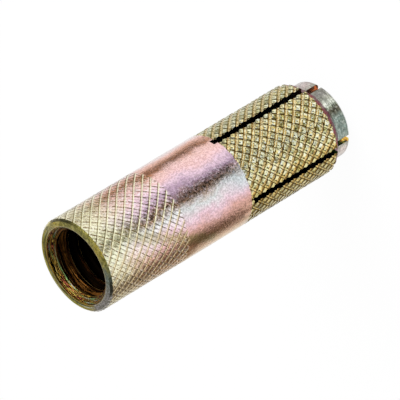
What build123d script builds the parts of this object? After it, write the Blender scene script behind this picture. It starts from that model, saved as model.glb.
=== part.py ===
"""Drop-in anchor for an M10 bolt, set in a 12 mm drilled hole, in millimetres.

The anchor stands on its slotted tip: the origin is the centre of the tip face and +Z runs up to the threaded mouth.
The sleeve is turned and knurled from one bar. Two saw cuts at right angles split its lower end into four segments,
and a loose expander plug waits in the bore above them. Driving the plug down the taper spreads the segments.
"""

from build123d import *
import math
import os

# Sleeve, outside
sleeve_length = 40.0
body_diameter = 12.0
mouth_edge_chamfer = 0.25
front_knurl_length = 12.15
plain_band_length = 10.3
shoulder_chamfer = 0.3
collar_step = 1.0
collar_length = 2.8
collar_root_radius = 0.3
tip_edge_chamfer = 0.3

# Diamond knurls: the number of grooves of each hand, and how deep they are rolled
knurl_groove_count = 28
knurl_crest_drop = 0.02
grip_knurl_depth = 0.3
front_knurl_depth = 0.12
knurl_seat_depth = 0.1
knurl_ring_overlap = 0.2

# Sleeve, inside: the wall outside the thread, then how far each bore steps in from the one above it
mouth_wall = 1.0
thread_pitch = 1.5
thread_length = 14.0
plug_bore_step = 0.25
taper_top = 17.0
taper_bottom = 4.0
tip_bore_step = 0.9

# Two saw cuts across the tip, the one along X a little deeper than the one along Y, by where each ends outside
slot_width = 0.8
x_slot_height = 18.0
y_slot_height = 16.9
saw_diameter = 60.0

# Expander plug, and how far it slides before its nose seats in the taper
plug_running_clearance = 0.05
plug_length = 10.0
plug_nose_length = 6.0
plug_edge_chamfer = 0.3
plug_travel = 4.0
plug_seat_gap = 0.03

# Places and angles that follow from the sizes above
body_radius = body_diameter / 2
collar_radius = body_radius - collar_step
knurl_crest_radius = body_radius - knurl_crest_drop
front_knurl_top = sleeve_length - mouth_edge_chamfer
plain_band_top = front_knurl_top - front_knurl_length
plain_band_bottom = plain_band_top - plain_band_length
grip_knurl_bottom = collar_length + shoulder_chamfer
thread_bottom = sleeve_length - thread_length
thread_major_radius = body_radius - mouth_wall
thread_minor_radius = thread_major_radius - thread_pitch / 2
plug_bore_radius = thread_minor_radius - plug_bore_step
tip_bore_radius = plug_bore_radius - tip_bore_step
taper_angle = math.atan2(plug_bore_radius - tip_bore_radius, taper_top - taper_bottom)


def outside_outline():
    """Points (radius, height) of the blank's outside from the tip up, with a shallow seat for each knurled ring."""
    grip_seat_radius = knurl_crest_radius - grip_knurl_depth - knurl_seat_depth
    front_seat_radius = knurl_crest_radius - front_knurl_depth - knurl_seat_depth
    return [
        (collar_radius - tip_edge_chamfer, 0),
        (collar_radius, tip_edge_chamfer),
        (collar_radius, collar_length),
        (body_radius - shoulder_chamfer, collar_length),
        (body_radius, grip_knurl_bottom),
        (grip_seat_radius, grip_knurl_bottom),
        (grip_seat_radius, plain_band_bottom),
        (body_radius, plain_band_bottom),
        (body_radius, plain_band_top),
        (front_seat_radius, plain_band_top),
        (front_seat_radius, front_knurl_top),
        (body_radius, front_knurl_top),
        (body_radius - mouth_edge_chamfer, sleeve_length),
    ]


def bore_outline():
    """Points (radius, height) of the bore, from the mouth face down to the tip face."""
    countersink_depth = thread_major_radius - thread_minor_radius
    return [
        (thread_major_radius, sleeve_length),
        (thread_minor_radius, sleeve_length - countersink_depth),
        (thread_minor_radius, thread_bottom),
        (plug_bore_radius, thread_bottom - plug_bore_step),
        (plug_bore_radius, taper_top),
        (tip_bore_radius, taper_bottom),
        (tip_bore_radius, 0),
    ]


def turned_blank():
    """The sleeve as it comes off the lathe, before it is knurled and slotted."""
    points = outside_outline() + bore_outline()
    blank = revolve(Plane.XZ * make_face(Polyline(*points, close=True)), Axis.Z)
    collar_root = blank.edges().filter_by(GeomType.CIRCLE).filter_by(
        lambda edge: abs(edge.radius - collar_radius) < 1e-6
        and abs(edge.center().Z - collar_length) < 1e-6
    )
    return fillet(collar_root, collar_root_radius)


def knurled_ring(bottom, top, depth):
    """A ring whose outside is a diamond knurl: a pyramid stands between each two crossing pairs of grooves.

    The lattice has a point at every half step round the ring and at every half row up it. Its points are crests
    and roots by turns, like the squares of a chessboard.
    """
    steps = 2 * knurl_groove_count
    row_height = 2 * math.pi * body_radius / knurl_groove_count
    levels = max(2, round(2 * (top - bottom) / row_height))
    root_radius = knurl_crest_radius - depth
    inner_radius = root_radius - knurl_seat_depth - knurl_ring_overlap

    def lattice_point(step, level):
        radius = knurl_crest_radius if (step + level) % 2 == 0 else root_radius
        angle = 2 * math.pi * (step % steps) / steps
        height = bottom + (top - bottom) * level / levels
        return Vector(radius * math.cos(angle), radius * math.sin(angle), height)

    def facet(*corners):
        return Face(Wire(Polyline(*[lattice_point(*corner) for corner in corners], close=True).edges()))

    faces = []
    for level in range(levels + 1):
        for step in range(level % 2, steps + level % 2, 2):
            if level < levels:
                faces.append(facet((step, level), (step + 1, level), (step, level + 1)))
                faces.append(facet((step, level), (step, level + 1), (step - 1, level)))
            if level > 0:
                faces.append(facet((step, level), (step - 1, level), (step, level - 1)))
                faces.append(facet((step, level), (step, level - 1), (step + 1, level)))

    hole = Cylinder(inner_radius, top - bottom, align=(Align.CENTER, Align.CENTER, Align.MIN))
    hole = Pos(0, 0, bottom) * hole
    faces.append(hole.faces().filter_by(GeomType.CYLINDER)[0])
    for level in (0, levels):
        rim = Wire(Polyline(*[lattice_point(step, level) for step in range(steps)], close=True).edges())
        height = rim.center().Z
        inner = hole.edges().filter_by(GeomType.CIRCLE).filter_by_position(Axis.Z, height - 1e-6, height + 1e-6)
        faces.append(Face(rim, [Wire(inner)]))
    return Solid(Shell(faces))


def saw_cut(height, disc_axis):
    """The space that a slitting saw leaves: a disc whose edge leaves the body's outside at a height."""
    saw_radius = saw_diameter / 2
    disc_centre = height - math.sqrt(saw_radius**2 - body_radius**2)
    disc_plane = Plane(origin=(0, 0, disc_centre), z_dir=disc_axis.direction)
    return disc_plane * Cylinder(saw_radius, slot_width)


def sleeve():
    """The finished sleeve: turned, knurled, then slotted crosswise."""
    blank = turned_blank()
    grip = knurled_ring(grip_knurl_bottom, plain_band_bottom, grip_knurl_depth)
    front = knurled_ring(plain_band_top, front_knurl_top, front_knurl_depth)
    knurled = blank + grip + front
    return knurled - saw_cut(x_slot_height, Axis.Y) - saw_cut(y_slot_height, Axis.X)


def expander_plug():
    """The plug where it waits, its travel above the place where its nose meets the taper."""
    radius = plug_bore_radius - plug_running_clearance
    nose_end_radius = radius - plug_nose_length * math.tan(taper_angle)
    seat_height = taper_top - plug_running_clearance / math.tan(taper_angle) + plug_seat_gap / math.sin(taper_angle)
    nose_top = seat_height + plug_travel
    bottom = nose_top - plug_nose_length
    top = bottom + plug_length
    points = [
        (0, bottom),
        (nose_end_radius - plug_edge_chamfer, bottom),
        (nose_end_radius, bottom + plug_edge_chamfer),
        (radius, nose_top),
        (radius, top - plug_edge_chamfer),
        (radius - plug_edge_chamfer, top),
        (0, top),
    ]
    return revolve(Plane.XZ * make_face(Polyline(*points, close=True)), Axis.Z)


def main():
    os.makedirs("parts", exist_ok=True)
    export_step(sleeve(), "parts/anchor_sleeve.step")
    export_step(expander_plug(), "parts/expander_plug.step")


main()
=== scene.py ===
"""Looks of a drop-in anchor: a knurled, cross-slotted, yellow-passivated sleeve with a threaded mouth.

The sleeve's mesh is built here in millimetres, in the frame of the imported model, and scaled to metres at the
end. Angles round the axis run from +X towards +Y. The tip's face is at height 0 and the mouth is at the top.
"""

import math
import random

import bmesh
import bpy
from mathutils import Matrix, Vector, noise


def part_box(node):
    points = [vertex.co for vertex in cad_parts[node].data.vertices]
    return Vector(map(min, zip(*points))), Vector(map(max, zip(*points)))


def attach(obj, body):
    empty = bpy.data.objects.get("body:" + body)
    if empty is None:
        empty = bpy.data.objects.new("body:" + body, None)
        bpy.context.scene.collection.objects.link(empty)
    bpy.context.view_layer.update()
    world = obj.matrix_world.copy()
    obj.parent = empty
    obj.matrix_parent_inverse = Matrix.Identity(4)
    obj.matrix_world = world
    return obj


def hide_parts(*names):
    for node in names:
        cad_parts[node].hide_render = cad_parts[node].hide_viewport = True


MM = 0.001
TURN = 2 * math.pi

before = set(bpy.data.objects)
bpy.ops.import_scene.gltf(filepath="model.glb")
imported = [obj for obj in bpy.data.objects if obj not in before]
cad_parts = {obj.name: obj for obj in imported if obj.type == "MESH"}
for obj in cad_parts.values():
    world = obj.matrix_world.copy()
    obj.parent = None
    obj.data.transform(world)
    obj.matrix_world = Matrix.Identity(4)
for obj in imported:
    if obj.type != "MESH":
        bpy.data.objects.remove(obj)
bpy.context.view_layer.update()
sleeve_low, sleeve_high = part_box("anchor_sleeve")

# Outside of the sleeve, in millimetres
LENGTH = (sleeve_high.z - sleeve_low.z) / MM
BODY_R = min(sleeve_high.x - sleeve_low.x, sleeve_high.y - sleeve_low.y) / MM / 2
MOUTH_CHAMFER = 0.25
FRONT_KNURL_BOTTOM = 27.6
GRIP_KNURL_TOP = 17.3
SHOULDER_CHAMFER = 0.3
COLLAR_R = 5.0
COLLAR_TOP = 2.8
COLLAR_ROOT_R = 0.3
TIP_CHAMFER = 0.3
RING_POINTS = 168

# Diamond knurls: how many grooves of each hand, a diamond's height and width, and the gap between grooves.
# The first hand's grooves climb to the left, and the second hand's to the right
KNURL_STARTS = 28
KNURL_RISE = 1.36
KNURL_STEP = TURN * BODY_R / KNURL_STARTS
KNURL_GAP = KNURL_RISE * KNURL_STEP / math.hypot(KNURL_RISE, KNURL_STEP)
KNURL_CREST_DROP = 0.005
KNURL_RUN_OUT = 0.14


class Knurl:
    """A knurled stretch of the sleeve, between two heights.

    Its places are counted in grooves of each hand, from where the first one of each starts. The second hand
    can be finer than the first, with a faint groove between each two. The profile gives how deep the surface
    lies at each distance from the bottom of the nearest groove: its floor and wall, and then the land. The
    second hand's grooves are as deep and wide as the profile times the share. The lands are uneven by about
    the last number.
    """

    def __init__(self, bottom, top, starts, finer, share, profile, uneven):
        self.bottom = bottom
        self.top = top
        self.middle = (bottom + top) / 2
        self.starts = starts
        self.finer = finer
        self.shares = (1.0, share)
        self.profile = profile
        self.uneven = uneven


GRIP = Knurl(
    bottom=COLLAR_TOP + SHOULDER_CHAMFER,
    top=GRIP_KNURL_TOP,
    starts=(0.66, 0.35),
    finer=1,
    share=0.78,
    profile=((0.0, 0.24), (0.1, 0.2), (0.21, 0.01), (0.32, 0.03)),
    uneven=0.03,
)
FRONT = Knurl(
    bottom=FRONT_KNURL_BOTTOM,
    top=LENGTH - MOUTH_CHAMFER,
    starts=(0.72, 0.87),
    finer=2,
    share=1.0,
    profile=((0.0, 0.05), (0.055, 0.032), (0.12, 0.0)),
    uneven=0.012,
)

# Bore
THREAD_PITCH = 1.5
THREAD_MAJOR_R = 5.0
THREAD_MINOR_R = 4.25
THREAD_BOTTOM = 26.0
THREAD_START = 27.3
THREAD_FLANK_ANGLE = 30
PLUG_BORE_R = 4.0
TAPER_TOP = 17.0
TAPER_BOTTOM = 4.0
TIP_BORE_R = 3.1

# Saw cuts: where each one ends on the outside
SLOT_WIDTH = 0.8
X_SLOT_TOP = 18.0
Y_SLOT_TOP = 16.9
SAW_R = 30.0

# Edges sharper than this many degrees show as edges
SHARP_ANGLE = 28

# Camera, as fitted to the photograph: its azimuth in this frame, and how far its aim lies off the middle
CAMERA_AZIMUTH = 46.5
CAMERA_ELEVATION = 33.21
CAMERA_ROLL = -121.1
CAMERA_DISTANCE = 641.2
CAMERA_LENS = 492.8
CAMERA_ASIDE = (-0.030, -1.036)

# Floor: half its side in metres, its grey, and how much of its own light, with the shadow, shows through
FLOOR_HALF = 3.0
FLOOR_GREY = 0.85
SHADOW_SHARE = 0.04

# Light from all round
STUDIO_STRENGTH = 0.8

# Cards that only reflections see: one just over the floor and one overhead, by height and radius
FLOOR_CARD_HEIGHT = 0.2
FLOOR_CARD_R = 110
CEILING_HEIGHT = 300
CEILING_R = 2000


def ring(bm, radius, height):
    """A closed row of points round the axis."""
    steps = [TURN * k / RING_POINTS for k in range(RING_POINTS)]
    return [bm.verts.new((radius * math.cos(t), radius * math.sin(t), height)) for t in steps]


def join_rings(bm, first, second):
    """Quads between two rows with as many points each."""
    for k in range(len(first)):
        after = (k + 1) % len(first)
        bm.faces.new((first[k], first[after], second[after], second[k]))


def angle_of(vert):
    """The angle of a point round the axis, from 0 to a whole turn."""
    return math.atan2(vert.co.y, vert.co.x) % TURN


def zip_rings(bm, first, second):
    """Triangles between two closed rows whose points stand at other angles."""
    first = sorted(first, key=angle_of)
    second = sorted(second, key=angle_of)
    a, b = 0, 0
    while a < len(first) or b < len(second):
        next_a = angle_of(first[a]) if a < len(first) else math.inf
        next_b = angle_of(second[b]) if b < len(second) else math.inf
        if next_a <= next_b:
            bm.faces.new((first[a - 1], first[a], second[b - 1]))
            a += 1
        else:
            bm.faces.new((second[b - 1], first[a - 1], second[b]))
            b += 1


def lathe(bm, outline):
    """Rings along an outline of (radius, height), each joined to the next."""
    rows = [ring(bm, radius, height) for radius, height in outline]
    for lower, upper in zip(rows, rows[1:]):
        join_rings(bm, lower, upper)
    return rows


def depth_at(profile, off):
    """Depth of a knurl's profile at a distance from the nearest groove's bottom."""
    for (near, depth), (far, next_depth) in zip(profile, profile[1:]):
        if off <= far:
            return depth + (next_depth - depth) * (off - near) / (far - near)
    return profile[-1][1]


def knurl_band(bm, knurl, seed):
    """A band of diamonds between two sets of crossing grooves. Returns its lower and its upper edge.

    Its points lie where lines along the grooves of both hands cross. Each land is lifted and tipped a little
    by chance.
    """
    gaps = (KNURL_GAP, KNURL_GAP / knurl.finer)
    least_gap = 0.01
    stops = []
    for gap, share in zip(gaps, knurl.shares):
        half = [off * share / gap for off, _ in knurl.profile if off * share < gap / 2 - least_gap]
        stops.append(half + [0.5] + [1 - stop for stop in reversed(half[1:])])
    counts = [len(hand_stops) for hand_stops in stops]
    draw = random.Random(seed)
    lands = {}
    reach = (knurl.top - knurl.bottom) / 2 / KNURL_RISE + 1
    land_edge = knurl.profile[2][0]
    rough_around, rough_along, rough_share = 14, 2.4, 0.6

    def place(hand, line):
        """Where a line of one hand lies, counted in grooves."""
        return line // counts[hand] + stops[hand][line % counts[hand]]

    def point(i, j):
        """The point where line i of the first hand crosses line j of the second."""
        p, q = place(0, i), place(1, j)
        first = p + knurl.starts[0]
        second = q / knurl.finer + knurl.starts[1]
        angle = TURN * (first + second) / 2 / KNURL_STARTS
        height = knurl.middle + KNURL_RISE * (first - second) / 2
        cell = (math.floor(p), math.floor(q))
        if cell not in lands:
            lands[cell] = [draw.uniform(-1, 1) for _ in range(3)]
        lift, tip_p, tip_q = lands[cell]
        off_p = abs((p + 0.5) % 1 - 0.5) * gaps[0] / knurl.shares[0]
        off_q = abs((q + 0.5) % 1 - 0.5) * gaps[1] / knurl.shares[1]
        faint = 0.5 if knurl.finer > 1 and round(q) % 2 else 1.0
        second_depth = depth_at(knurl.profile, off_q) * faint * knurl.shares[1]
        depth = max(depth_at(knurl.profile, off_p), second_depth)
        flat = min(1.0, min(off_p, off_q) / land_edge)
        slope = tip_p * (p % 1 - 0.5) + tip_q * (q % 1 - 0.5)
        spot = (math.cos(angle) * rough_around, math.sin(angle) * rough_around, height * rough_along)
        rough = noise.noise(Vector(spot))
        sunk = depth + knurl.uneven * (0.5 + flat * (0.5 * lift + slope) + rough_share * rough)
        radius = BODY_R - KNURL_CREST_DROP - max(0.0, sunk)
        return bm.verts.new((radius * math.cos(angle), radius * math.sin(angle), height))

    verts = {}
    around = [KNURL_STARTS * counts[0], KNURL_STARTS * knurl.finer * counts[1]]
    for i in range(around[0]):
        offset = place(0, i) + knurl.starts[0] - knurl.starts[1]
        first = math.floor((offset - 2 * reach) * knurl.finer * counts[1])
        last = math.ceil((offset + 2 * reach) * knurl.finer * counts[1])
        for j in range(first, last):
            verts[i, j] = point(i, j)

    def found(i, j):
        """The same crossing a whole turn back or on, if it has a point."""
        turns = i // around[0]
        return verts.get((i - turns * around[0], j - turns * around[1]))

    faces = []
    for i, j in verts:
        corners = [found(i, j), found(i + 1, j), found(i + 1, j + 1), found(i, j + 1)]
        if None not in corners:
            faces.append(bm.faces.new(corners))

    edges = []
    for height, normal in ((knurl.bottom, (0, 0, -1)), (knurl.top, (0, 0, 1))):
        faces = [face for face in faces if face.is_valid]
        geometry = list(dict.fromkeys(part for face in faces for part in (*face.verts, *face.edges))) + faces
        cut = bmesh.ops.bisect_plane(
            bm, geom=geometry, dist=1e-5, plane_co=(0, 0, height), plane_no=normal, clear_outer=True
        )
        faces = [g for g in cut["geom"] if isinstance(g, bmesh.types.BMFace) and g.is_valid]
        edges.append([g for g in cut["geom_cut"] if isinstance(g, bmesh.types.BMVert)])
    own = set(verts.values())
    loose = [v for v in bm.verts if not v.link_faces and v in own]
    bmesh.ops.delete(bm, geom=loose, context="VERTS")
    return edges


def sleeve_blank():
    """The turned and knurled sleeve, closed all round, before its thread and slots are cut."""
    bm = bmesh.new()
    root = COLLAR_ROOT_R
    arc = [TURN / 4 * k / 4 for k in range(5)]
    fillet = [(COLLAR_R + root * (1 - math.cos(t)), COLLAR_TOP - root * (1 - math.sin(t))) for t in arc]
    tip = [
        (TIP_BORE_R, 0),
        (COLLAR_R - TIP_CHAMFER, 0),
        (COLLAR_R, TIP_CHAMFER),
        *fillet,
        (BODY_R - SHOULDER_CHAMFER, COLLAR_TOP),
    ]
    tip_rows = lathe(bm, tip)
    grip_bottom, grip_top = knurl_band(bm, GRIP, seed=3)
    front_bottom, front_top = knurl_band(bm, FRONT, seed=8)
    plain_low = GRIP_KNURL_TOP + KNURL_RUN_OUT
    plain_high = FRONT_KNURL_BOTTOM - KNURL_RUN_OUT
    plain_steps = 6
    heights = [plain_low + (plain_high - plain_low) * k / plain_steps for k in range(plain_steps + 1)]
    plain_rows = lathe(bm, [(BODY_R, height) for height in heights])
    countersink = THREAD_MAJOR_R - THREAD_MINOR_R
    step = THREAD_MINOR_R - PLUG_BORE_R
    mouth = [
        (BODY_R - MOUTH_CHAMFER, LENGTH),
        (THREAD_MAJOR_R, LENGTH),
        (THREAD_MINOR_R, LENGTH - countersink),
        (THREAD_MINOR_R, THREAD_BOTTOM),
        (PLUG_BORE_R, THREAD_BOTTOM - step),
        (PLUG_BORE_R, TAPER_TOP),
        (TIP_BORE_R, TAPER_BOTTOM),
    ]
    mouth_rows = lathe(bm, mouth)
    join_rings(bm, mouth_rows[-1], tip_rows[0])
    zip_rings(bm, tip_rows[-1], grip_bottom)
    zip_rings(bm, grip_top, plain_rows[0])
    zip_rings(bm, plain_rows[-1], front_bottom)
    zip_rings(bm, front_top, mouth_rows[0])
    bmesh.ops.recalc_face_normals(bm, faces=bm.faces)
    return bm


def thread_tap():
    """A screw-shaped solid that cuts the mouth's right-hand thread, and runs out over its last turn."""
    bm = bmesh.new()
    root_half = THREAD_PITCH / 16
    mouth_half = root_half + (THREAD_MAJOR_R - THREAD_MINOR_R) * math.tan(math.radians(THREAD_FLANK_ANGLE))
    overlap = 0.3
    inner = THREAD_MINOR_R - overlap
    profile = [
        (inner, -mouth_half),
        (THREAD_MINOR_R, -mouth_half),
        (THREAD_MAJOR_R, -root_half),
        (THREAD_MAJOR_R, root_half),
        (THREAD_MINOR_R, mouth_half),
        (inner, mouth_half),
    ]
    steps_per_turn = 120
    turns = (LENGTH + THREAD_PITCH - THREAD_START) / THREAD_PITCH
    run_out_turns = 0.8
    run_out_depth = THREAD_MAJOR_R - THREAD_MINOR_R + 0.05
    rows = []
    for k in range(round(turns * steps_per_turn) + 1):
        turn = k / steps_per_turn
        angle = TURN * turn
        sunk = max(0.0, 1 - turn / run_out_turns) * run_out_depth
        row = []
        for radius, rise in profile:
            r = radius - sunk
            z = THREAD_START + turn * THREAD_PITCH + rise
            row.append(bm.verts.new((r * math.cos(angle), r * math.sin(angle), z)))
        rows.append(row)
    for lower, upper in zip(rows, rows[1:]):
        join_rings(bm, lower, upper)
    bm.faces.new(rows[0])
    bm.faces.new(rows[-1])
    bmesh.ops.recalc_face_normals(bm, faces=bm.faces)
    return bm


def saw_centre(top):
    """The height of the saw's axis when its edge leaves the body's outside at a height."""
    return top - math.sqrt(SAW_R**2 - BODY_R**2)


def saw_disc(top, along_x):
    """The disc of the slitting saw where its cut ends."""
    bm = bmesh.new()
    turn = Matrix.Rotation(math.pi / 2, 4, "X" if along_x else "Y")
    bmesh.ops.create_cone(
        bm, cap_ends=True, segments=360, radius1=SAW_R, radius2=SAW_R, depth=SLOT_WIDTH,
        matrix=Matrix.Translation((0, 0, saw_centre(top))) @ turn,
    )
    return bm


def to_object(bm, name):
    """An object in the scene with the mesh that was built."""
    mesh = bpy.data.meshes.new(name)
    bm.to_mesh(mesh)
    bm.free()
    piece = bpy.data.objects.new(name, mesh)
    bpy.context.scene.collection.objects.link(piece)
    return piece


def cut(piece, *cutters):
    """Takes the cutters' solids out of a piece, and removes the cutters."""
    for cutter in cutters:
        boolean = piece.modifiers.new(cutter.name, "BOOLEAN")
        boolean.operation = "DIFFERENCE"
        boolean.solver = "MANIFOLD"
        boolean.object = cutter
    graph = bpy.context.evaluated_depsgraph_get()
    result = bpy.data.meshes.new_from_object(piece.evaluated_get(graph))
    piece.modifiers.clear()
    piece.data = result
    for cutter in cutters:
        bpy.data.objects.remove(cutter)


def split_large_faces(mesh):
    """Makes triangles of the faces with many corners, so that the saw cuts' toothed walls can't fold over."""
    bm = bmesh.new()
    bm.from_mesh(mesh)
    large = [face for face in bm.faces if len(face.verts) > 4]
    bmesh.ops.triangulate(bm, faces=large, ngon_method="BEAUTY")
    bm.to_mesh(mesh)
    bm.free()


def build_sleeve():
    """The sleeve's object, in metres, shaded smooth but for its sharp edges."""
    sleeve = to_object(sleeve_blank(), "knurled_sleeve")
    cut(
        sleeve,
        to_object(thread_tap(), "thread_tap"),
        to_object(saw_disc(X_SLOT_TOP, along_x=True), "saw_x"),
        to_object(saw_disc(Y_SLOT_TOP, along_x=False), "saw_y"),
    )
    sleeve.data.transform(Matrix.Scale(MM, 4))
    split_large_faces(sleeve.data)
    sleeve.data.shade_smooth()
    sleeve.data.set_sharp_from_angle(angle=math.radians(SHARP_ANGLE))
    return sleeve


def rgb(red, green, blue):
    """A colour written in screen values, 0 to 255, as Blender's linear light."""
    shares = [value / 255 for value in (red, green, blue)]
    return tuple(c / 12.92 if c < 0.04045 else ((c + 0.055) / 1.055) ** 2.4 for c in shares)


class Nodes:
    """A short way to write the node tree of a material, or of the world."""

    def __init__(self, owner, output_kind="ShaderNodeOutputMaterial"):
        owner.use_nodes = True
        self.owner = owner
        self.tree = owner.node_tree
        self.tree.nodes.clear()
        self.output = self.add(output_kind)

    def add(self, kind, **settings):
        node = self.tree.nodes.new(kind)
        for key, value in settings.items():
            setattr(node, key, value)
        return node

    def link(self, source, target):
        self.tree.links.new(source, target)

    def feed(self, socket, value):
        """Puts a number, a colour or another node's output into a socket."""
        if isinstance(value, bpy.types.NodeSocket):
            self.link(value, socket)
        elif hasattr(value, "__len__") and len(value) == 3 and socket.type == "RGBA":
            socket.default_value = (*value, 1)
        else:
            socket.default_value = value

    def math(self, operation, *values):
        node = self.add("ShaderNodeMath", operation=operation)
        for socket, value in zip(node.inputs, values):
            self.feed(socket, value)
        return node.outputs[0]

    def times(self, a, b):
        return self.math("MULTIPLY", a, b)

    def plus(self, a, b):
        return self.math("ADD", a, b)

    def minus(self, a, b):
        return self.math("SUBTRACT", a, b)

    def linear(self, value, factor, offset):
        """A value times a factor, plus an offset."""
        return self.math("MULTIPLY_ADD", value, factor, offset)

    def distance(self, a, b):
        """How far from the origin a place is, by its coordinates on two axes."""
        return self.math("SQRT", self.plus(self.math("POWER", a, 2.0), self.math("POWER", b, 2.0)))

    def mix(self, share, a, b, blend="MIX"):
        """A share of b over a."""
        node = self.add("ShaderNodeMix", data_type="RGBA", blend_type=blend)
        self.feed(node.inputs["Factor"], share)
        self.feed(node.inputs[6], a)
        self.feed(node.inputs[7], b)
        return node.outputs[2]

    def tinge(self, colour, where, share, other):
        """A share of another colour over a colour, where a mask is 1."""
        return self.mix(self.times(where, share), colour, other)

    def step(self, value, low, high):
        """0 below low and 1 above high, smooth between them. It falls where low is the larger."""
        node = self.add("ShaderNodeMapRange", interpolation_type="SMOOTHSTEP")
        self.feed(node.inputs[0], value)
        if low < high:
            limits = (low, high, 0, 1)
        else:
            limits = (high, low, 1, 0)
        for index, limit in enumerate(limits, 1):
            node.inputs[index].default_value = limit
        return node.outputs[0]

    def band(self, value, low, high, soft):
        """1 between two values and 0 outside them."""
        rise = self.step(value, low - soft, low + soft)
        fall = self.step(value, high + soft, high - soft)
        return self.times(rise, fall)

    def noise(self, where, scale, detail, roughness, distortion=0.0):
        node = self.add("ShaderNodeTexNoise")
        self.link(where, node.inputs["Vector"])
        node.inputs["Scale"].default_value = scale
        node.inputs["Detail"].default_value = detail
        node.inputs["Roughness"].default_value = roughness
        node.inputs["Distortion"].default_value = distortion
        return node.outputs["Fac"]

    def chance(self, *numbers):
        """A random value for each set of numbers."""
        node = self.add("ShaderNodeTexWhiteNoise", noise_dimensions="3D")
        self.link(self.vector(*numbers), node.inputs["Vector"])
        return node.outputs["Value"]

    def vector(self, *parts):
        node = self.add("ShaderNodeCombineXYZ")
        for socket, value in zip(node.inputs, parts):
            self.feed(socket, value)
        return node.outputs[0]

    def parts(self, vector):
        node = self.add("ShaderNodeSeparateXYZ")
        self.link(vector, node.inputs[0])
        return node.outputs

    def ramp(self, value, stops, low=0.0, high=1.0):
        """Colours at stops of a value between low and high."""
        node = self.add("ShaderNodeValToRGB")
        ramp = node.color_ramp
        while len(ramp.elements) < len(stops):
            ramp.elements.new(0.5)
        for element, (place, colour) in zip(ramp.elements, stops):
            element.position = (place - low) / (high - low)
            element.color = (*colour, 1)
        self.feed(node.inputs[0], self.math("DIVIDE", self.minus(value, low), high - low))
        return node.outputs[0]

    def scaled(self, vector, factors):
        node = self.add("ShaderNodeVectorMath", operation="MULTIPLY")
        self.link(vector, node.inputs[0])
        node.inputs[1].default_value = factors
        return node.outputs[0]

    def millimetres(self):
        return self.scaled(self.add("ShaderNodeTexCoord").outputs["Object"], (1 / MM,) * 3)

    def turn(self, x, y):
        """Degrees round the axis, -180 to 180, from the side that the photograph shows."""
        azimuth = self.math("DEGREES", self.math("ARCTAN2", x, self.times(y, -1.0)))
        return self.math("WRAP", self.minus(azimuth, CAMERA_AZIMUTH), 180.0, -180.0)

    def bump(self, height, depth):
        """A normal for a height between 0 and 1, as deep as given in millimetres."""
        node = self.add("ShaderNodeBump")
        node.inputs["Strength"].default_value = 1.0
        node.inputs["Distance"].default_value = depth * MM
        self.link(height, node.inputs["Height"])
        return node.outputs[0]

    def metal(self, colour, roughness, normal):
        bsdf = self.add("ShaderNodeBsdfPrincipled")
        bsdf.inputs["Metallic"].default_value = 1.0
        self.feed(bsdf.inputs["Base Color"], colour)
        self.feed(bsdf.inputs["Roughness"], roughness)
        self.link(normal, bsdf.inputs["Normal"])
        self.link(bsdf.outputs[0], self.output.inputs["Surface"])

    def seen_as_white(self, shader, share):
        """Puts out a shader. Camera, glossy and transmission rays see plain white over it, by a share."""
        rays = self.add("ShaderNodeLightPath").outputs
        seen = rays["Is Camera Ray"]
        for ray in ("Is Glossy Ray", "Is Transmission Ray"):
            seen = self.math("MAXIMUM", seen, rays[ray])
        white = self.add("ShaderNodeEmission")
        white.inputs["Color"].default_value = (1, 1, 1, 1)
        white.inputs["Strength"].default_value = 1.0
        mixed = self.add("ShaderNodeMixShader")
        self.link(self.times(seen, share), mixed.inputs[0])
        self.link(shader, mixed.inputs[1])
        self.link(white.outputs[0], mixed.inputs[2])
        self.link(mixed.outputs[0], self.output.inputs["Surface"])


# Colours of the passivation film, which change with its thickness, and the painted black shade deep inside the
# bore and the saw cuts
GOLD = rgb(210, 176, 122)
TAN = rgb(206, 156, 124)
ROSE = rgb(212, 166, 154)
LILAC = rgb(236, 214, 214)
MINT = rgb(212, 214, 208)
# Brownish colour for the painted dark reflection streak down the plain band
UMBER_REFLECTION = rgb(186, 150, 128)
PALE_GREEN = rgb(236, 232, 200)
OLIVE = rgb(192, 182, 100)
YELLOW = rgb(240, 214, 96)
STEEL = rgb(200, 192, 188)
TEAL = rgb(150, 164, 152)
# Painted black shade for the depths of the bore and the saw cuts, where little light reaches
DEEP_SHADE = rgb(6, 4, 3)

# How fine the turning marks are in the bore and on the rim
BORE_MARKS = 1.9
RIM_MARKS = 4.4


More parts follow.
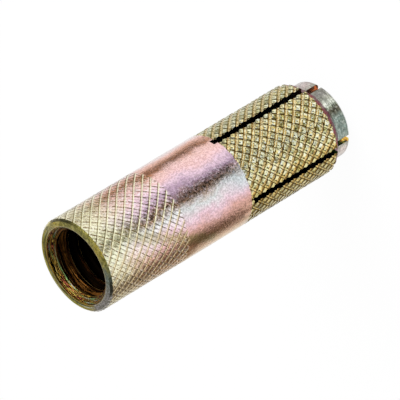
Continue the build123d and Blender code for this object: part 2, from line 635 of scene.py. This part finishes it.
class Zinc(Nodes):
    """Yellow-passivated zinc: bright metal under an iridescent film, browner in the grooves as painted shade.

    Each part of the sleeve has its own film, with painted shade, highlights, reflection streaks and glints.
    Places are in millimetres in the sleeve's own frame, and in degrees round it from the side that the
    photograph shows.
    """

    def __init__(self):
        super().__init__(bpy.data.materials.new("yellow_zinc"))
        self.place = self.millimetres()
        self.x, self.y, self.z = self.parts(self.place)
        self.radius = self.distance(self.x, self.y)
        self.angle = self.math("ARCTAN2", self.y, self.x)
        self.degrees = self.turn(self.x, self.y)
        # The right half, from -5 to 173 degrees round, where the painted highlights and shade on the groove
        # walls change sides
        self.right = self.band(self.degrees, -5, 173, 5)
        self.side = self.linear(self.right, 2.0, -1.0)
        self.cloud = self.noise(self.place, 0.3, 3, 0.5)
        self.film = self.noise(self.place, 1.1, 4, 0.6, 0.5)
        self.patch = self.step(self.film, 0.4, 0.6)
        self.grain = self.noise(self.place, 3.6, 3, 0.7)
        self.speckle = self.step(self.noise(self.place, 4.2, 2, 0.6), 0.42, 0.58)
        self.tint = self.step(self.noise(self.place, 3.1, 3, 0.6), 0.42, 0.58)
        self.fleck = self.step(self.noise(self.place, 3.0, 1, 0.5), 0.5, 0.6)
        # Bright specks, laid on as painted glints
        other_place = self.scaled(self.place, (1.0, -1.0, 1.1))
        self.painted_glints = self.step(self.noise(other_place, 2.8, 1, 0.5), 0.54, 0.62)

    def wavy(self, value, noise, reach):
        """A value moved by a noise, by half the reach at most."""
        return self.linear(self.minus(noise, 0.5), reach, value)

    def wavy_degrees(self, reach):
        return self.wavy(self.degrees, self.film, reach)

    def shaded(self, colour, noise, low, high):
        """A colour made lighter and darker by a noise."""
        level = self.linear(noise, high - low, low)
        return self.mix(1.0, colour, self.vector(level, level, level), blend="MULTIPLY")

    def plain(self):
        """Pink and lilac round the band, painted dark and brown reflection streaks along it with painted
        glints, and a leaning olive stain.
        """
        angle = self.wavy(self.wavy(self.degrees, self.cloud, 30), self.film, 14)
        # The dark stops from 3 to 13 degrees and at 54 degrees are painted reflection streaks; the rest are
        # the film's colours
        stops = [
            (-180, ROSE), (-130, TAN), (-85, GOLD), (-58, TAN), (-36, rgb(220, 170, 160)),
            (-22, rgb(238, 204, 216)), (-8, rgb(222, 226, 226)), (3, UMBER_REFLECTION), (13, rgb(184, 156, 180)),
            (23, rgb(236, 206, 222)), (34, rgb(250, 206, 206)), (45, rgb(250, 206, 198)),
            (54, rgb(192, 132, 98)), (66, rgb(228, 174, 156)), (80, LILAC), (105, TAN), (140, MINT),
            (180, ROSE),
        ]
        colour = self.ramp(angle, stops, -180, 180)
        # Painted dark reflection streak down the front, darkest in dark flecks
        reflection_core = self.band(self.wavy_degrees(14), -2, 9, 4)
        reflection_spots = self.linear(self.fleck, 0.7, self.times(self.tint, 0.3))
        colour = self.tinge(colour, reflection_core, reflection_spots, rgb(60, 44, 34))
        # Painted glints along it
        glints = self.times(self.band(self.wavy_degrees(14), -9, 16, 5), self.painted_glints)
        colour = self.tinge(colour, glints, 0.35, rgb(255, 240, 255))
        # Painted brown reflection streaks at each side, in dark flecks
        brown = self.band(self.wavy_degrees(8), 49, 60, 4)
        below = self.band(self.wavy_degrees(8), -64, -40, 5)
        reflection_spots = self.times(self.plus(brown, below), self.fleck)
        colour = self.tinge(colour, reflection_spots, 0.4, rgb(96, 60, 40))
        low = self.wavy(self.z, self.film, 3)
        blue = self.times(self.step(low, 21.5, 18.5), self.band(self.degrees, -24, 2, 7))
        colour = self.tinge(colour, blue, 0.5, rgb(200, 214, 220))
        lean = self.linear(self.z, 5.0, -180.0)
        along = self.minus(self.degrees, lean)
        stain = self.times(self.band(self.wavy(along, self.film, 16), -8, 6, 5), self.step(self.z, 22, 24))
        return self.tinge(colour, stain, 0.6, rgb(150, 140, 84))

    def off_line(self, place, shift=0.0):
        """How far a shifted place lies from the nearest whole number, -0.5 to 0.5."""
        return self.math("WRAP", self.minus(place, shift), 0.5, -0.5)

    def stripe(self, off, aside, half, soft=0.02):
        """1 on a stripe beside a groove's bottom, which changes sides from the front's left to its right."""
        shifted = self.minus(off, self.times(self.side, aside))
        return self.step(self.math("ABSOLUTE", shifted), half + soft, half - soft)

    def lattice(self, knurl):
        """Places counted in grooves of each hand, and a chance for each land."""
        around = self.times(self.angle, KNURL_STARTS / TURN)
        climb = self.math("DIVIDE", self.minus(self.z, knurl.middle), KNURL_RISE)
        p = self.minus(self.plus(around, climb), knurl.starts[0])
        q = self.minus(self.minus(around, climb), knurl.starts[1])
        q = self.times(q, float(knurl.finer))
        return p, q, self.chance(self.math("FLOOR", p), self.math("FLOOR", q))

    def front(self, plain):
        """Pinkish lands that pale towards the mouth, cream grooves of one hand and dark ones of the other, as
        painted highlights and painted shade on their walls, and painted dark and brown reflection streaks.
        """
        p, q, land = self.lattice(FRONT)
        height = self.wavy(self.wavy(self.z, self.cloud, 6), self.film, 4)
        near_mouth = self.step(height, 33, 41)
        colour = self.tinge(plain, self.step(height, 32, 39), 0.8, rgb(230, 232, 192))
        colour = self.shaded(colour, land, 1.06, 1.3)
        # Painted brown reflection streak on the lower side
        limb = self.band(self.wavy_degrees(16), -64, -46, 8)
        colour = self.tinge(colour, limb, 0.6, rgb(150, 112, 84))
        # Painted dark reflection streak down the front near the mouth
        streak = self.times(self.band(self.wavy_degrees(14), -4, 7, 4), near_mouth)
        colour = self.tinge(colour, streak, 0.4, rgb(84, 74, 24))
        share = self.linear(near_mouth, 0.16, 0.06)
        # Dark flecks, and painted glints
        colour = self.tinge(colour, self.fleck, share, rgb(96, 78, 50))
        colour = self.tinge(colour, self.painted_glints, 0.3, rgb(255, 252, 244))
        off_p, off_q = self.off_line(p), self.off_line(q)
        dark = self.mix(near_mouth, rgb(84, 68, 20), rgb(112, 70, 0))
        deep = self.math("LESS_THAN", self.math("WRAP", self.plus(q, 0.5), 2.0, 0.0), 1.0)
        share = self.linear(deep, 0.5, 0.5)
        # Painted shade along one wall of the second hand's grooves, swapping walls from left to right
        line = self.times(self.stripe(off_q, 0.22, 0.11, 0.04), self.step(self.grain, 0.38, 0.5))
        colour = self.tinge(colour, line, share, dark)
        # Painted olive shade along one wall of the first hand's grooves, and a painted cream highlight along
        # their bottom
        olive = self.mix(self.right, rgb(150, 124, 64), rgb(120, 98, 14))
        colour = self.tinge(colour, self.stripe(off_p, 0.13, 0.06), 0.75, olive)
        cream = self.mix(self.right, rgb(240, 224, 184), rgb(255, 250, 212))
        return self.tinge(colour, self.stripe(off_p, -0.01, 0.07), 0.85, cream)

    def grip(self):
        """Mint, white and gold lands with a painted dark shade dash across, and tan and brown grooves between
        them: painted shade and painted highlights on the groove walls, painted shade on the sides, and a
        painted dark reflection streak.
        """
        p, q, land = self.lattice(GRIP)
        off_p, off_q = self.off_line(p), self.off_line(q)
        level = self.linear(land, 0.46, self.linear(self.grain, 1.1, -0.16))
        stops = [
            (0.3, rgb(66, 62, 22)), (0.44, rgb(168, 162, 98)), (0.58, rgb(240, 240, 184)),
            (0.72, rgb(248, 255, 234)), (0.85, rgb(244, 218, 120)),
        ]
        colour = self.ramp(level, stops)
        high = self.step(self.wavy(self.z, self.film, 4), 8, 12)
        colour = self.tinge(colour, high, 0.25, rgb(255, 252, 220))
        # Painted dark reflection streak down the front of the lower grip
        streak = self.times(self.band(self.degrees, -8, 9, 4), self.step(high, 0.8, 0.2))
        colour = self.tinge(colour, streak, 0.3, rgb(84, 66, 14))
        gold = self.times(self.band(self.wavy_degrees(30), 18, 48, 14), self.tint)
        colour = self.tinge(colour, gold, 0.4, rgb(236, 204, 96))
        # Dark flecks, and painted glints
        colour = self.tinge(colour, self.fleck, 0.44, rgb(78, 66, 20))
        colour = self.tinge(colour, self.painted_glints, 0.6, rgb(246, 255, 244))
        # Painted highlight along one wall of the second hand's grooves, on the left
        beside = self.times(self.stripe(off_q, -0.07, 0.07, 0.03), self.step(self.right, 1.4, 0.0))
        colour = self.mix(beside, colour, rgb(255, 250, 196))
        # Painted shade: a dark dash across each land, which moves with the side
        across = self.math("ABSOLUTE", self.off_line(p, self.times(self.side, -0.39)))
        shade_dash = self.stripe(self.off_line(q, 0.305), 0.115, 0.06, 0.03)
        shade_dash = self.times(shade_dash, self.step(across, 0.18, 0.1))
        colour = self.mix(shade_dash, colour, rgb(40, 38, 10))
        # Painted highlight along the bottom of the second hand's grooves, on the right
        groove_highlight = self.times(self.stripe(off_q, -0.01, 0.05), self.right)
        colour = self.tinge(colour, groove_highlight, 0.8, rgb(250, 238, 170))
        # Painted tan shade in the first hand's grooves, a painted cream highlight on one wall and painted
        # brown shade on the other, swapping walls from left to right
        deep = self.mix(self.right, rgb(190, 164, 108), rgb(188, 150, 84))
        tan = self.mix(self.speckle, deep, rgb(246, 222, 172))
        colour = self.mix(self.stripe(off_p, 0.09, 0.09), colour, tan)
        colour = self.mix(self.stripe(off_p, -0.12, 0.08), colour, rgb(252, 242, 196))
        brown = self.mix(self.tint, rgb(64, 44, 4), rgb(140, 108, 44))
        colour = self.mix(self.stripe(off_p, 0.24, 0.06), colour, brown)
        # Painted dark shade along one wall of the second hand's grooves, broken up
        broken = self.linear(self.step(self.grain, 0.4, 0.52), 0.5, 0.5)
        dark = self.times(self.stripe(self.off_line(q, -0.05), 0.125, 0.065, 0.03), broken)
        colour = self.mix(dark, colour, rgb(86, 60, 0))
        # Painted shade: darker and yellower on the lower side, darker on the lower limb and on the upper side
        lower = self.band(self.wavy_degrees(10), -150, -32, 8)
        colour = self.mix(lower, colour, (0.86, 0.74, 0.46), blend="MULTIPLY")
        limb = self.band(self.degrees, -130, -59, 7)
        colour = self.tinge(colour, limb, 0.3, rgb(120, 104, 30))
        upper = self.band(self.degrees, 53, 130, 7)
        return self.tinge(colour, upper, 0.35, rgb(178, 170, 112))

    def collar(self):
        """Grey turned steel with a painted highlight and a painted dark reflection streak along it, and a plum
        line of painted shade round its root and on the shoulder.
        """
        angle = self.wavy_degrees(16)
        grey = rgb(160, 163, 148)
        # The bright stop at 13 degrees is a painted highlight and the dark ones from -3 to 3 a painted
        # reflection streak; the turning marks show most there
        stops = [
            (-180, grey), (-60, rgb(206, 190, 182)), (-50, grey), (-36, rgb(138, 152, 144)),
            (-10, rgb(130, 146, 138)), (-3, rgb(110, 112, 100)), (3, rgb(98, 90, 78)),
            (8, rgb(170, 178, 160)), (13, rgb(250, 255, 240)), (19, rgb(176, 178, 164)),
            (30, rgb(150, 146, 142)), (46, grey), (60, rgb(204, 186, 182)), (180, grey),
        ]
        colour = self.shaded(self.ramp(angle, stops, -180, 180), self.patch, 0.76, 1.1)
        turned = self.noise(self.scaled(self.place, (0.5, 0.5, 3.2)), 1.4, 3, 0.7)
        turned = self.step(turned, 0.42, 0.56)
        even = self.shaded(colour, turned, 0.74, 1.08)
        streaky = self.shaded(colour, turned, 0.34, 1.2)
        colour = self.mix(self.band(self.degrees, -6, 20, 8), even, streaky)
        # Dark flecks in the painted reflection streak, and painted glints
        reflection_spots = self.times(self.band(self.degrees, -6, 14, 6), self.fleck)
        colour = self.tinge(colour, reflection_spots, 0.5, rgb(48, 48, 34))
        colour = self.tinge(colour, self.painted_glints, 0.2, rgb(250, 255, 244))
        # Painted shade: a plum line in the crease under the shoulder, and the shoulder's face
        root = self.step(self.wavy(self.z, self.grain, 0.4), 1.95, 2.2)
        colour = self.tinge(colour, root, 0.85, rgb(112, 60, 76))
        shoulder = self.step(self.radius, COLLAR_R + 0.1, COLLAR_R + 0.3)
        return self.mix(shoulder, colour, rgb(130, 66, 74))

    def face(self):
        """The rim: yellow, olive and grey, with painted highlight patches, the film's gilt colours with
        painted highlight rings on the far side, painted bright and dark rings and a painted highlight at its
        inner edge, and painted shade on its chamfer.
        """
        angle = self.wavy_degrees(40)
        stops = [
            (-180, YELLOW), (-150, OLIVE), (-125, ROSE), (-100, STEEL), (-62, STEEL), (-36, TEAL),
            (-18, OLIVE), (0, YELLOW), (20, OLIVE), (60, OLIVE), (80, YELLOW), (110, PALE_GREEN),
            (140, YELLOW), (180, YELLOW),
        ]
        colour = self.ramp(angle, stops, -180, 180)
        colour = self.shaded(colour, self.speckle, 0.76, 1.2)
        colour = self.tinge(colour, self.tint, 0.45, rgb(92, 100, 48))
        colour = self.tinge(colour, self.fleck, 0.3, rgb(70, 66, 20))
        # Painted highlight patches, from about -40 degrees round to the far side
        glow = self.times(self.step(self.film, 0.5, 0.62), self.step(self.degrees, -40, -10))
        colour = self.tinge(colour, glow, 0.6, rgb(255, 240, 150))
        film = [
            (0.3, rgb(130, 110, 10)), (0.38, rgb(250, 226, 60)), (0.45, rgb(150, 160, 30)),
            (0.5, rgb(255, 250, 140)), (0.54, rgb(110, 90, 6)), (0.58, rgb(250, 222, 50)),
            (0.66, rgb(255, 255, 226)),
        ]
        # On the far side, bright rings along the turning marks: the film's gilt colours with painted
        # highlights
        marks = self.streaks(RIM_MARKS)
        gilt = self.step(self.math("ABSOLUTE", self.wavy_degrees(30)), 92, 124)
        colour = self.tinge(colour, gilt, 0.85, self.ramp(marks, film))
        lit_and_shaded_rings = [
            (0.3, rgb(56, 40, 4)), (0.4, rgb(206, 172, 46)), (0.43, rgb(36, 26, 3)), (0.5, rgb(30, 20, 3)),
            (0.525, rgb(255, 232, 120)), (0.55, rgb(36, 26, 4)), (0.6, rgb(96, 130, 50)),
            (0.68, rgb(255, 244, 210)),
        ]
        # Near the inner edge there, painted bright and dark rings
        near = self.step(self.wavy(self.radius, self.film, 0.5), 5.52, 5.4)
        colour = self.tinge(colour, gilt, near, self.ramp(marks, lit_and_shaded_rings))
        # Painted highlight along the inner edge
        inner = self.step(self.radius, THREAD_MAJOR_R + 0.16, THREAD_MAJOR_R + 0.04)
        edge = self.mix(gilt, rgb(246, 232, 196), rgb(250, 206, 84))
        colour = self.tinge(colour, inner, 0.6, edge)
        # Painted shade on the chamfer, in sectors at both sides and the far left
        chamfer = self.step(self.radius, BODY_R - MOUTH_CHAMFER - 0.08, BODY_R - MOUTH_CHAMFER)
        left = self.band(self.wavy_degrees(20), -62, -34, 8)
        right = self.band(self.wavy_degrees(20), 46, 92, 10)
        far_left = self.times(self.band(self.degrees, -125, -62, 10), 0.4)
        dark = self.math("MAXIMUM", self.times(self.math("MAXIMUM", left, right), 0.92), far_left)
        return self.tinge(colour, chamfer, dark, rgb(50, 48, 32))

    def streaks(self, fine):
        """Turning marks that run round the axis, in the bore and on the rim."""
        across = self.times(self.plus(self.z, self.radius), fine)
        turned = self.vector(self.times(self.x, 0.12), self.times(self.y, 0.12), across)
        return self.noise(turned, 2.0, 1, 0.5)

    def inside(self):
        """The bore: gold, red and green film at the mouth as painted highlight lines between painted shade,
        thread crests with painted light and painted highlights on their edges, painted glints on the flanks
        near the mouth, and painted black shade further down.
        """
        around = self.times(self.angle, THREAD_PITCH / TURN)
        height = self.minus(self.z, self.plus(around, THREAD_START))
        phase = self.math("WRAP", height, THREAD_PITCH, 0.0)
        across = self.times(self.plus(self.z, self.radius), 2.6)
        turned = self.vector(self.times(self.x, 0.2), self.times(self.y, 0.2), across)
        streak = self.noise(turned, 1.2, 4, 0.85)
        lines = self.streaks(BORE_MARKS)
        gold = self.times(self.band(self.degrees, 70, 168, 14), 0.03)
        # Near-black painted shade, in the gaps between the mouth's lines and on the thread deeper in
        oil = rgb(14, 8, 3)
        film = [
            (0.2, oil), (0.3, rgb(90, 60, 16)), (0.33, rgb(255, 226, 130)), (0.35, oil), (0.42, oil),
            (0.435, rgb(255, 206, 80)), (0.45, oil), (0.495, oil), (0.51, rgb(226, 124, 92)),
            (0.522, oil), (0.56, oil), (0.575, rgb(255, 224, 110)), (0.59, oil),
            (0.63, oil), (0.65, rgb(150, 224, 140)), (0.665, oil), (0.72, rgb(255, 250, 244)),
        ]
        mouth = self.ramp(self.plus(lines, gold), film)
        flat = self.band(phase, 0.53, 0.97, 0.02)
        # Thread crests: painted light in brown and gold, and a painted highlight along one edge
        crest_light = self.mix(self.step(streak, 0.5, 0.6), rgb(26, 14, 5), rgb(164, 100, 48))
        edge = self.times(self.band(phase, 0.5, 0.58, 0.02), self.step(streak, 0.42, 0.52))
        crest = self.mix(edge, crest_light, rgb(255, 220, 140))
        # Painted glints on the flanks near the mouth, fading to painted shade deeper in
        glint = self.mix(self.step(streak, 0.46, 0.58), oil, rgb(170, 112, 50))
        flank = self.mix(self.step(self.z, LENGTH - 1.8, LENGTH - 3.4), glint, oil)
        thread = self.mix(flat, flank, crest)
        colour = self.mix(self.step(self.z, LENGTH - 0.6, LENGTH - 1.0), mouth, thread)
        # Painted black shade deeper in the bore
        return self.mix(self.step(self.z, LENGTH - 3, LENGTH - 7), colour, DEEP_SHADE)

    def slot(self, across, along, top):
        """1 inside a saw cut: where the saw's disc reached."""
        height = self.minus(self.z, saw_centre(top))
        reached = self.step(self.distance(height, along), SAW_R + 0.03, SAW_R + 0.01)
        half = SLOT_WIDTH / 2
        return self.times(reached, self.step(self.math("ABSOLUTE", across), half + 0.02, half + 0.01))

    def slots(self):
        """1 inside either saw cut."""
        x_slot = self.slot(self.y, self.x, X_SLOT_TOP)
        y_slot = self.slot(self.x, self.y, Y_SLOT_TOP)
        return self.math("MAXIMUM", x_slot, y_slot)

    def slot_wall(self):
        """Saw-cut walls: painted black shade, with the film's colours where they come out at the collar."""
        collar = self.times(self.step(self.z, 3.6, 2.6), self.step(self.radius, 3.6, 4.2))
        side = self.step(self.degrees, -10, 10)
        outer = self.step(self.wavy(self.z, self.grain, 4), 1.3, 0.7)
        gilt = self.mix(self.fleck, rgb(214, 150, 60), rgb(250, 220, 100))
        rusty = self.mix(self.fleck, rgb(90, 54, 20), rgb(190, 96, 44))
        left = self.mix(outer, rgb(72, 116, 32), gilt)
        right = self.mix(outer, rgb(120, 60, 24), rusty)
        film = self.mix(side, left, right)
        # Painted black shade inside the cuts, with the film's colours at the collar
        return self.tinge(DEEP_SHADE, collar, self.step(self.film, 0.35, 0.5), film)

    def bore(self):
        """1 inside the mouth's countersink and thread, and in the bores and the taper below them."""
        in_thread = self.step(self.radius, THREAD_MAJOR_R + 0.04, THREAD_MAJOR_R)
        in_plug_bore = self.step(self.radius, PLUG_BORE_R + 0.1, PLUG_BORE_R + 0.05)
        upper = self.times(in_thread, self.step(self.z, THREAD_BOTTOM - 4, THREAD_BOTTOM - 3))
        lower = self.times(in_plug_bore, self.step(self.z, 0.02, 0.06))
        return self.math("MAXIMUM", upper, lower)

    def finish(self):
        """Lays each part's film where it belongs, from the plain band out, and returns the material."""
        plain = self.plain()
        front = self.step(self.z, FRONT_KNURL_BOTTOM - 0.1, FRONT_KNURL_BOTTOM + 0.1)
        grip = self.step(self.z, GRIP_KNURL_TOP + 0.1, GRIP_KNURL_TOP)
        colour = self.mix(front, plain, self.front(plain))
        colour = self.mix(grip, colour, self.grip())
        shoulder_top = COLLAR_TOP + SHOULDER_CHAMFER
        # Painted plum shade along the knurl's end, above the shoulder
        shoulder = self.step(self.z, shoulder_top + 0.06, shoulder_top + 0.02)
        colour = self.mix(shoulder, colour, rgb(120, 60, 68))
        colour = self.mix(self.step(self.z, shoulder_top, shoulder_top - 0.05), colour, self.collar())
        colour = self.shaded(colour, self.speckle, 0.84, 1.16)
        colour = self.tinge(colour, self.tint, 0.1, rgb(130, 130, 90))
        top = LENGTH - MOUTH_CHAMFER
        colour = self.mix(self.step(self.z, top - 0.02, top + 0.02), colour, self.face())
        bore = self.bore()
        colour = self.mix(bore, colour, self.inside())
        colour = self.mix(self.slots(), colour, self.slot_wall())
        knurled = self.times(self.plus(front, grip), 0.06)
        roughness = self.plus(self.linear(self.film, 0.1, 0.06), knurled)
        roughness = self.linear(bore, 0.3, roughness)
        height = self.linear(self.minus(self.streaks(BORE_MARKS), self.grain), bore, self.grain)
        self.metal(colour, roughness, self.bump(height, depth=0.04))
        return self.owner


def steel_material():
    """Turned steel with fine rings from the tool, dulled by oil."""
    n = Nodes(bpy.data.materials.new("plain_steel"))
    place = n.millimetres()
    rings = n.noise(n.scaled(place, (0.3, 0.3, 9)), 1.0, 3, 0.6)
    cloud = n.noise(place, 0.8, 3, 0.6)
    stops = [(0.3, rgb(150, 148, 146)), (0.5, rgb(176, 174, 172)), (0.7, rgb(160, 150, 138))]
    colour = n.ramp(cloud, stops)
    roughness = n.linear(cloud, 0.3, 0.25)
    n.metal(colour, roughness, n.bump(rings, depth=0.02))
    return n.owner


def direction(azimuth, elevation):
    """The direction out from the axis at degrees round it, counted from -Y, and degrees up."""
    a, e = math.radians(azimuth), math.radians(elevation)
    return Vector((math.sin(a) * math.cos(e), -math.cos(a) * math.cos(e), math.sin(e)))


def camera_axes():
    """The camera's right, up and back."""
    azimuth, roll = math.radians(CAMERA_AZIMUTH), math.radians(CAMERA_ROLL)
    back = direction(CAMERA_AZIMUTH, CAMERA_ELEVATION)
    level = Vector((math.cos(azimuth), math.sin(azimuth), 0))
    steep = back.cross(level)
    right = level * math.cos(roll) + steep * math.sin(roll)
    up = steep * math.cos(roll) - level * math.sin(roll)
    return right, up, back


def add_camera():
    """The photograph's camera."""
    right, up, back = camera_axes()
    data = bpy.data.cameras.new("camera")
    data.sensor_width = 36
    data.lens = CAMERA_LENS
    data.clip_start = 0.01
    data.clip_end = 20
    camera = bpy.data.objects.new("camera", data)
    middle = Vector((0, 0, LENGTH / 2)) + right * CAMERA_ASIDE[0] + up * CAMERA_ASIDE[1]
    place = (middle + back * CAMERA_DISTANCE) * MM
    turn = Matrix((right, up, back)).transposed().to_4x4()
    camera.matrix_world = Matrix.Translation(place) @ turn
    bpy.context.scene.collection.objects.link(camera)
    bpy.context.scene.camera = camera


def add_floor():
    """A pale floor that looks white but for the object's shadow."""
    bm = bmesh.new()
    bmesh.ops.create_grid(bm, x_segments=1, y_segments=1, size=FLOOR_HALF)
    floor = to_object(bm, "floor")
    n = Nodes(bpy.data.materials.new("pale_floor"))
    diffuse = n.add("ShaderNodeBsdfDiffuse")
    diffuse.inputs["Color"].default_value = (FLOOR_GREY, FLOOR_GREY, FLOOR_GREY, 1)
    n.seen_as_white(diffuse.outputs[0], 1 - SHADOW_SHARE)
    floor.data.materials.append(n.owner)


def add_world():
    """White studio light from all round."""
    world = bpy.data.worlds.new("studio")
    bpy.context.scene.world = world
    n = Nodes(world, "ShaderNodeOutputWorld")
    light = n.add("ShaderNodeBackground")
    light.inputs["Color"].default_value = (1, 1, 1, 1)
    light.inputs["Strength"].default_value = STUDIO_STRENGTH
    n.seen_as_white(light.outputs[0], 1.0)


def add_card(name, height, radius, paint):
    """A round card, level over the axis, that only reflections see. Its paint gives its light."""
    bm = bmesh.new()
    bmesh.ops.create_circle(bm, cap_ends=True, segments=96, radius=radius * MM)
    card = to_object(bm, name)
    card.location.z = height * MM
    n = Nodes(bpy.data.materials.new(name))
    x, y, _ = n.parts(n.millimetres())
    emission = n.add("ShaderNodeEmission")
    n.link(paint(n, n.turn(x, y), n.distance(x, y)), emission.inputs["Color"])
    n.link(emission.outputs[0], n.output.inputs["Surface"])
    card.data.materials.append(n.owner)
    card.visible_camera = False
    card.visible_diffuse = False
    card.visible_shadow = False
    card.visible_transmission = False


def floor_shades(n, azimuth, distance):
    """White paper round the object, with dark gaps between its sheets: one in front and one at each side."""
    white = (1, 1, 1)
    near_front, near_right = (0.02, 0.015, 0.01), (0.1, 0.08, 0.06)
    far_front, far_right = (0.3, 0.28, 0.24), (0.36, 0.32, 0.28)
    near_stops = [
        (-180, white), (-126, white), (-113, (0.2, 0.17, 0.13)), (-88, (0.18, 0.15, 0.11)), (-76, white),
        (-8, white), (0, near_front), (14, near_front), (26, white),
        (90, white), (96, near_right), (106, near_right), (112, white),
    ]
    far_stops = [
        (-180, white), (-152, white), (-138, (0.42, 0.36, 0.3)), (-88, (0.25, 0.21, 0.17)), (-70, white),
        (-12, white), (-2, far_front), (12, far_front), (26, white),
        (90, white), (98, far_right), (108, far_right), (118, white),
    ]
    near = n.ramp(azimuth, near_stops, -180, 180)
    far = n.ramp(azimuth, far_stops, -180, 180)
    paper = n.mix(n.step(distance, 41, 47), near, far)
    return n.mix(n.step(distance, 33, 26), paper, white)


def ceiling_shade(n, azimuth, distance):
    """A dim ceiling that brightens towards the horizon."""
    levels = ((250, 0.34), (600, 0.42), (1200, 0.7), (1900, 1))
    return n.ramp(distance, [(place, (level,) * 3) for place, level in levels], 0, CEILING_R)


def add_lamp(name, azimuth, elevation, distance, size, power):
    """A square lamp aimed at the middle of the sleeve. Its azimuth counts from the camera's."""
    data = bpy.data.lights.new(name, "AREA")
    data.size = size
    data.energy = power
    lamp = bpy.data.objects.new(name, data)
    towards = direction(CAMERA_AZIMUTH + azimuth, elevation)
    lamp.location = towards * distance + Vector((0, 0, LENGTH / 2 * MM))
    lamp.rotation_mode = "QUATERNION"
    lamp.rotation_quaternion = towards.to_track_quat("Z", "Y")
    bpy.context.scene.collection.objects.link(lamp)


sleeve = build_sleeve()
sleeve.data.materials.clear()
sleeve.data.materials.append(Zinc().finish())
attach(sleeve, "sleeve")
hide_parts("anchor_sleeve")

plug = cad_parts["expander_plug"]
plug.data.materials.clear()
plug.data.materials.append(steel_material())

add_camera()
add_floor()
add_world()
add_card("floor_shades", FLOOR_CARD_HEIGHT, FLOOR_CARD_R, floor_shades)
add_card("ceiling_shade", CEILING_HEIGHT, CEILING_R, ceiling_shade)
add_lamp("key", azimuth=60, elevation=50, distance=0.5, size=0.3, power=2.0)
bpy.context.scene.view_settings.view_transform = "Standard"
